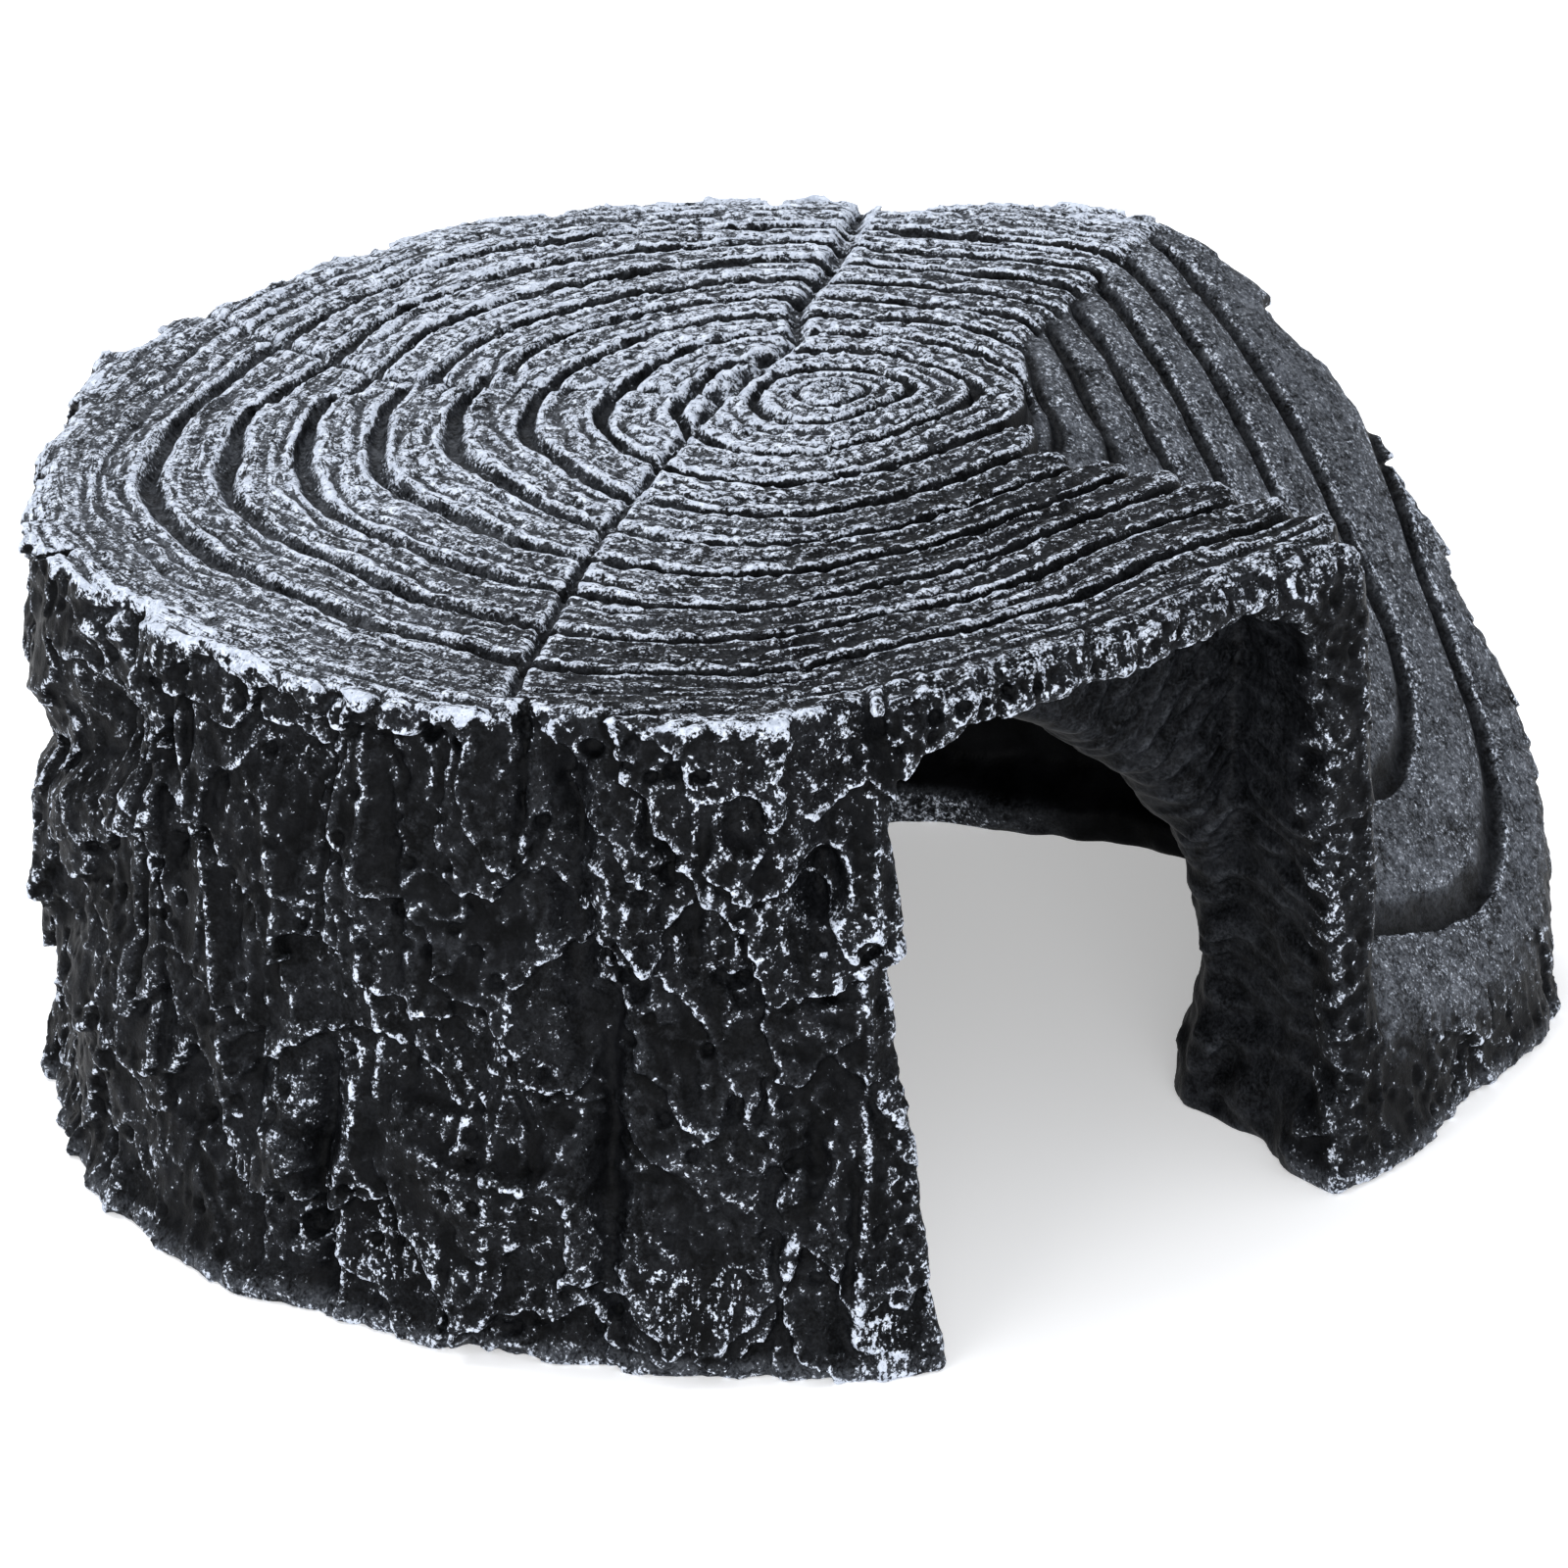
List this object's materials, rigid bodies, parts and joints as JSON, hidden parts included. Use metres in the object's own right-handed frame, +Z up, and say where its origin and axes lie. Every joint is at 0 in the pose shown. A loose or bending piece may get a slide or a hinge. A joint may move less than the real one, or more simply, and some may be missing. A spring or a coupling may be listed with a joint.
{
  "type": "resin cave ornament",
  "caption": "Hollow tree-stump cave in cast resin, with a deck of carved growth rings, a wide doorway and a slope down beside it, open underneath.",
  "frame": {"origin": "centre of the footprint, at the height of the foot that it stands on", "axes": "+Z up; the doorway faces -Y; +X runs to the right along the front, towards the slope"},
  "size_m": [0.1536, 0.1332, 0.07],
  "materials": {
    "painted_resin": "matte"
  },
  "bodies": {
    "root": {"cave_casting": "painted_resin"}
  },
  "joints": []
}
